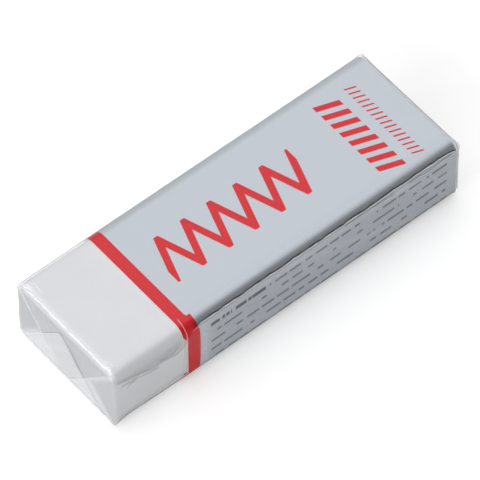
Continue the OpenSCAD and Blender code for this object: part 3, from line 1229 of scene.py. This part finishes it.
# %% Paint light and shade on the long edges and the near side
ROUND_SHADE = (0.13, 0.38)   # painted shade on the near top edge, over bare vinyl and over card
ROUND_TURN = (24, 44)   # degrees from the top at which that shade starts and is full
BOTTOM_SHADE = 0.30     # painted shade where the near side turns under
BOTTOM_TURN = 125
FAR_PAINTED_LIGHT = 0.12         # painted soft light on the far top edge
FAR_TURN = -55
EDGE_SPREAD = 22        # half the width of those two, in degrees
SIDE_RISE, SIDE_FALL = (60, 80), (100, 120)    # degrees at which the flat near side lies
GLARE_FROM = 0.9        # its painted reflections start this far behind the band
BAND_GLARE = 0.22       # a blurred painted one beside the band
GLARE_AT, GLARE_SPREAD = 1.6, 1.2    # where it is brightest behind the band, and half its width
SIDE_GLARE = 0.10       # and faint painted streaks further back


def long_edge_looks(x, z, turn, tube):
    """Painted light and painted shade where the sheet turns round the long edges."""
    bare, wrapped = ROUND_SHADE
    rounding = bare + (wrapped - bare) * ease(x, band_rear - 0.2, band_rear + 0.4)
    above_seam = ease(z - seam_height(x), -0.1, 0.1) * (turn < 95)
    shade = rounding * ease(turn, *ROUND_TURN) * above_seam * tube
    shade = shade + BOTTOM_SHADE * bell(turn - BOTTOM_TURN, EDGE_SPREAD) * tube
    return FAR_PAINTED_LIGHT * bell(turn - FAR_TURN, EDGE_SPREAD) * tube, shade


def near_side_painted_glare(x, z, turn, tube):
    """Painted soft reflections on the near side, brightest beside the band."""
    side = ease(turn, *SIDE_RISE) * (1 - ease(turn, *SIDE_FALL)) * tube
    side = side * (x > band_rear + GLARE_FROM)
    streaks = np.clip(waves(x + 2.5 * z, 21, 5, 4, 76), 0, 1)
    glare = BAND_GLARE * bell(x - (band_rear + GLARE_AT), GLARE_SPREAD)
    return side * (glare + SIDE_GLARE * (0.5 + streaks))


print("shade on the near top edge:", ROUND_SHADE)

# %% [markdown]
# ### The ends
#
# At the front the fold gets a painted highlight, a bright uneven line, with small painted glints
# behind it. On the end face the sheet is darker where the tucked ears lie under the flaps. At the
# rear two painted light lines lie on the turned sheet, over the sleeve's edge and on the fold.

# %% Paint light and shade on the folds at the ends
EAR_SHADE = 0.15        # how much darker the sheet is made where the tucked ears lie under it
EAR_SOFT = 0.8          # width in which an ear's slanted edge fades
WALL_SOFT = 0.35        # depth in which its shade ends behind the wall
# The painted highlight along the front fold, and how it wanders and changes.
FOLD_LINE = {"behind": 0.42, "wander": 0.10, "width": 0.10, "uneven": 0.4}
FOLD_TOP = (1.5, 0.9)   # below the film's top, where the fold's looks start and are full
REAR_LINES = [
    # (in front of the rear wall, half width, strength) of the painted light lines
    (0.8, 0.16, 0.85), (0.3, 0.12, 0.7),
]
REAR_TURNS = (-30, 130)    # degrees from the top between which they show
REAR_UNEVEN = 0.4
GLINTS = [
    # (depth behind the front, y, half length, half width) of small painted glints by the front fold
    (0.95, 9.2, 0.28, 1.0), (1.7, 8.2, 0.10, 1.2), (0.6, -9.4, 0.32, 0.9), (1.3, -8.7, 0.14, 0.6),
]


def ear_shade(x, y, z):
    """Darker triangles where the two tucked ears lie, each standing on its side edge."""
    in_from_side = half_size[0] - np.abs(y - axis_y)
    in_from_edge = half_size[1] - np.abs(z - axis_z)
    wall = 1 - ease(np.minimum(x - front_x, rear_x - x), 0, WALL_SOFT)
    return EAR_SHADE * wall * ease(in_from_edge / FLAP_PITCH - in_from_side, 0, EAR_SOFT)


def front_fold_painted_light(x, y, z):
    """The painted highlight along the front fold and the painted glints behind it."""
    top = ease(z, *(film_hi[2] - np.array(FOLD_TOP)))
    off = x - front_x - FOLD_LINE["behind"] - FOLD_LINE["wander"] * waves(y, 9, 1.1, 6, 73)
    uneven = 1 + FOLD_LINE["uneven"] * waves(y, 5, 0.9, 5, 74)
    haze_and_painted_light = bell(off, FOLD_LINE["width"]) * uneven * (x < 0)
    for depth, at, long, wide in GLINTS:
        haze_and_painted_light = haze_and_painted_light + bell(x - front_x - depth, long) * bell(y - at, wide)
    return LINE_HAZE_AND_HIGHLIGHT * top * haze_and_painted_light


def rear_fold_painted_light(x, y, z, turn):
    """The painted light lines at the rear, on the top and the near side."""
    strip = sum(strength * bell(rear_x - x - at, width) for at, width, strength in REAR_LINES)
    seen = (turn > REAR_TURNS[0]) & (turn < REAR_TURNS[1])
    return strip * seen * (1 + REAR_UNEVEN * waves(y + z, 6, 1.2, 5, 75))


print("dents by the front fold:", len(GLINTS))

# %% [markdown]
# ## The film in one piece
#
# The tube with its closed ends and the four flaps become one mesh, as the real sheet is one. Its
# milkiness with the painted light, and its shade, are stored with its points as named attributes,
# which the film's material reads.

# %% Turn the grids into one piece
HAZE = 0.01             # share of light that one clear sheet scatters
LOOKS_STEP = 0.1        # lines and shades start this far behind an end wall
NEAR_RISE, NEAR_FALL = (30, 45), (95, 100)    # degrees from the top at which the seam's side lies


def sheet_looks():
    """How milky the sheet is with its painted light, and how shaded, at each of its points."""
    x, y, z = np.moveaxis(sheet, 2, 0)
    # Degrees from the top, round to the near side.
    turn = np.degrees(np.arctan2(-out_ways[:, 0], out_ways[:, 1]))[None, :]
    tube = between_ends(x, LOOKS_STEP)
    near = ease(turn, *NEAR_RISE) * (1 - ease(turn, *NEAR_FALL)) * tube
    seam_haze_and_highlight, seam_shade = seam_looks(x, z, near)
    edge_painted_light, edge_shade = long_edge_looks(x, z, turn, tube)
    haze_and_painted_light = (HAZE + seam_haze_and_highlight + edge_painted_light + front_fold_painted_light(x, y, z)
            + near_side_painted_glare(x, z, turn, tube) + rear_fold_painted_light(x, y, z, turn))
    shade = seam_shade + edge_shade + ear_shade(x, y, z)
    return np.stack([np.clip(haze_and_painted_light, 0, 1), np.clip(shade, 0, 0.9)], 2)


def film_piece():
    """The tube with its closed ends, and the four flaps, as one mesh."""
    rings, around = sheet.shape[:2]
    points = [np.concatenate([sheet, sheet_looks()], 2).reshape(-1, 5)]
    faces = tube_faces(rings, around)
    count = rings * around
    for grid in flap_grids:
        points.append(grid.reshape(-1, 5))
        faces += grid_faces(*grid.shape[:2], count, closed=False)
        count += grid.shape[0] * grid.shape[1]
    points = np.concatenate(points)
    piece = smooth_piece("clear_film_sheet", points[:, :3], faces)
    for column, look in ((3, "haze_and_painted_light"), (4, "shade")):
        values = piece.data.attributes.new(look, "FLOAT", "POINT").data
        values.foreach_set("value", points[:, column].astype(np.float32))
    return piece


film = film_piece()
film.data.materials.append(film_material)
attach(film, "root")
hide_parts("film_wrap")
print("faces in the sheet:", len(film.data.polygons))
